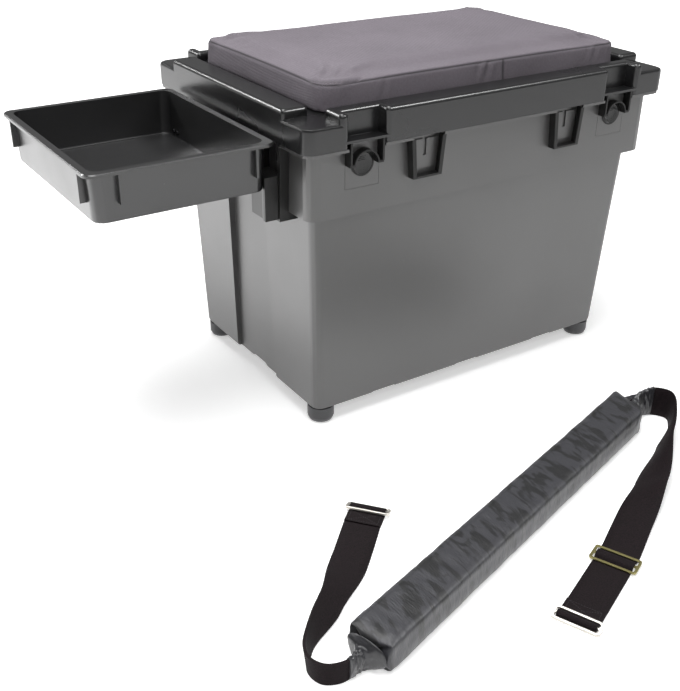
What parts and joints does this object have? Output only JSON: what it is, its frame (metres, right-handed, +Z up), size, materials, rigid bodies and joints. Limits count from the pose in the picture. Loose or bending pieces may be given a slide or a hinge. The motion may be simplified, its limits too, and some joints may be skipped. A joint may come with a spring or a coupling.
{
  "type": "fishing seat box",
  "caption": "Charcoal fishing seat box: padded hinged lid with push-button latches, open side tray hung on the collar, and a padded carrying strap lying in front.",
  "frame": {"origin": "on the ground, under the middle of the bounding box of the whole set (box, tray and strap)", "axes": "+Z up; -Y is the front, where the latches are and where the strap lies; -X is the side with the tray"},
  "size_m": [0.7894, 0.8236, 0.4483],
  "materials": {
    "box_plastic": "fine-grained charcoal grey moulding",
    "lid_plastic": "satin dark grey moulding",
    "tray_plastic": "satin dark grey moulding",
    "button_plastic": "satin grey moulding",
    "foot_rubber": "matt dark grey",
    "seat_fabric": "woven purple-grey cover over foam",
    "plywood": "raw plywood",
    "steel": "plated",
    "strap_satin": "smooth satin cover over foam",
    "webbing": "woven polypropylene webbing",
    "ring_chrome": "bright plated wire",
    "slider_brass": "dull olive brass"
  },
  "bodies": {
    "bin": {"bin_shell": "box_plastic", "collar_rim_front": "box_plastic", "collar_rim": "box_plastic", "foot_front_left": "foot_rubber", "foot_front_right": "foot_rubber", "foot_rear_left": "foot_rubber", "foot_rear_right": "foot_rubber", "socket_front_left": "box_plastic", "socket_front_right": "box_plastic", "socket_left_front": "box_plastic", "socket_left_rear": "box_plastic", "socket_right_front": "box_plastic", "socket_right_rear": "box_plastic", "latch_housing_left": "box_plastic", "latch_housing_right": "box_plastic", "latch_spring_left": "steel", "latch_spring_right": "steel", "hinge_pin_left": "steel", "hinge_pin_right": "steel"},
    "button_left": {"latch_button_left": "button_plastic", "latch_clip_left": "steel"},
    "button_right": {"latch_button_right": "button_plastic", "latch_clip_right": "steel"},
    "lid": {"lid_shell": "lid_plastic", "cushion_board": "plywood", "seat_cushion": "seat_fabric", "cushion_screw_1": "steel", "cushion_screw_2": "steel", "cushion_screw_3": "steel", "cushion_screw_4": "steel"},
    "tray": {"side_tray": "tray_plastic", "tray_bracket_front": "tray_plastic", "tray_bracket_rear": "tray_plastic", "tray_screw_1": "steel", "tray_screw_2": "steel", "tray_screw_3": "steel", "tray_screw_4": "steel"},
    "strap": {"strap_pad": "strap_satin", "strap_webbing_left": "webbing", "strap_webbing_right": "webbing", "strap_ring_left": "ring_chrome", "strap_ring_right": "ring_chrome", "strap_slider": "slider_brass"}
  },
  "joints": [
    {"name": "lid_hinge", "type": "hinge", "parent": "bin", "child": "lid", "pos_m": [0.11375, 0.40381, 0.369], "axis": [-1, 0, 0], "range_deg": [0, 105]},
    {"name": "tray_lift", "type": "slide", "parent": "bin", "child": "tray", "axis": [0, 0, 1], "range_m": [0, 0.034]},
    {"name": "latch_left_press", "type": "slide", "parent": "bin", "child": "button_left", "axis": [0, 1, 0], "range_m": [0, 0.003], "stiffness_N_per_m": 300, "springref_m": -0.003, "deforming": ["latch_spring_left"]},
    {"name": "latch_right_press", "type": "slide", "parent": "bin", "child": "button_right", "axis": [0, 1, 0], "range_m": [0, 0.003], "stiffness_N_per_m": 300, "springref_m": -0.003, "deforming": ["latch_spring_right"]},
    {"name": "strap_lift", "type": "slide", "parent": "bin", "child": "strap", "axis": [0, 0, 1], "range_m": [0, 0.3]}
  ]
}
